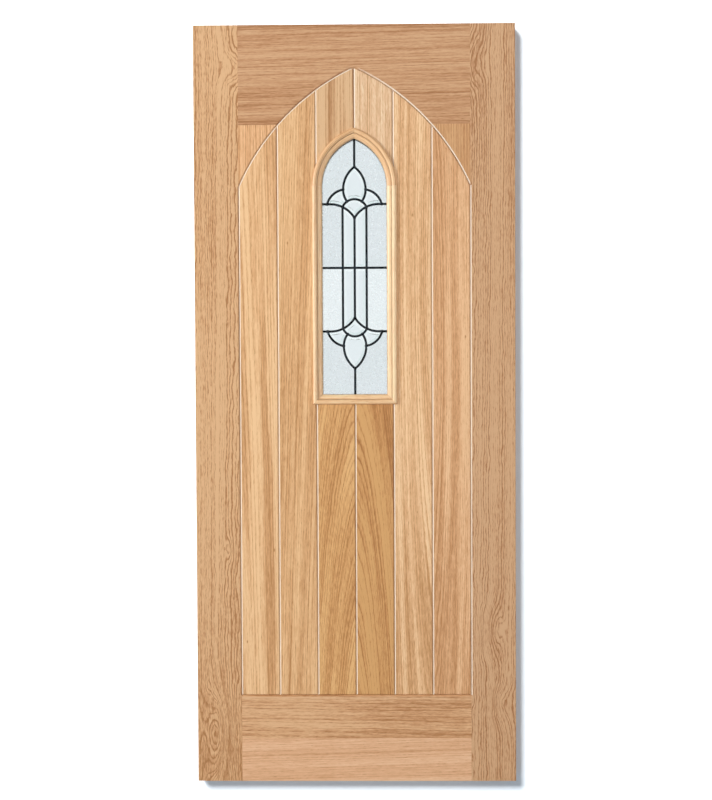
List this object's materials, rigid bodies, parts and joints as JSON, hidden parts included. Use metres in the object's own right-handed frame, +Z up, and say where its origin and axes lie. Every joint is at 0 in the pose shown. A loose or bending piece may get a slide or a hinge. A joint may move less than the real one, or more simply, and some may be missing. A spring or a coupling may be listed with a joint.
{
  "type": "boarded door leaf with a lancet light",
  "caption": "Rectangular oak door leaf with a pointed-arch panel of V-jointed boards and a leaded, triple-glazed lancet light framed by moulded beads.",
  "frame": {"origin": "middle of the leaf's bottom edge, on the middle plane of its thickness", "axes": "+Z up the leaf, +X across it to the right as seen from the front, -Y out of the front face"},
  "size_m": [0.838, 0.058, 1.981],
  "materials": {
    "oak_stile": "planed and oiled oak, vertical grain",
    "oak_rail": "planed and oiled oak, horizontal grain",
    "oak_spandrel": "planed and oiled oak, vertical grain",
    "oak_board": "planed and oiled oak, vertical grain",
    "oak_bead": "moulded and oiled oak",
    "core_timber": "sawn timber inside the leaf",
    "core_insulation": "rigid insulation board inside the leaf",
    "clear_glass": "polished float glass",
    "textured_glass": "fine granular obscure glass",
    "bevelled_glass": "polished bevelled glass",
    "lead_came": "darkened lead",
    "spacer_bar": "mill finish",
    "glazing_tape": "foam glazing tape",
    "setting_block": "moulded packers",
    "pin_steel": "bright steel panel pins"
  },
  "bodies": {
    "root": {"left_stile": "oak_stile", "right_stile": "oak_stile", "top_rail": "oak_rail", "bottom_rail_upper": "oak_rail", "bottom_rail_lower": "oak_rail", "left_spandrel": "oak_spandrel", "right_spandrel": "oak_spandrel", "front_board_1": "oak_board", "front_board_2": "oak_board", "front_board_3": "oak_board", "front_board_3_head": "oak_board", "front_board_4": "oak_board", "front_board_4_head": "oak_board", "front_board_5": "oak_board", "front_board_6": "oak_board", "back_board_1": "oak_board", "back_board_2": "oak_board", "back_board_3": "oak_board", "back_board_3_head": "oak_board", "back_board_4": "oak_board", "back_board_4_head": "oak_board", "back_board_5": "oak_board", "back_board_6": "oak_board", "front_bead_left_arch": "oak_bead", "front_bead_right_arch": "oak_bead", "front_bead_left_side": "oak_bead", "front_bead_right_side": "oak_bead", "front_bead_sill": "oak_bead", "back_bead_left_arch": "oak_bead", "back_bead_right_arch": "oak_bead", "back_bead_left_side": "oak_bead", "back_bead_right_side": "oak_bead", "back_bead_sill": "oak_bead", "left_muntin": "core_timber", "right_muntin": "core_timber", "light_sill_block": "core_timber", "light_head_block": "core_timber", "frame_dowels": "core_timber", "left_core": "core_insulation", "right_core": "core_insulation", "lower_core": "core_insulation", "front_pane": "clear_glass", "rear_pane": "clear_glass", "head_field_glass": "textured_glass", "middle_field_glass": "textured_glass", "sill_field_glass": "textured_glass", "teardrop_bevels": "bevelled_glass", "fan_bevels": "bevelled_glass", "shield_bevels": "bevelled_glass", "strip_bevels": "bevelled_glass", "came_lattice": "lead_came", "front_spacer": "spacer_bar", "rear_spacer": "spacer_bar", "front_glazing_tape": "glazing_tape", "rear_glazing_tape": "glazing_tape", "setting_blocks": "setting_block", "bead_pins": "pin_steel"}
  },
  "joints": []
}
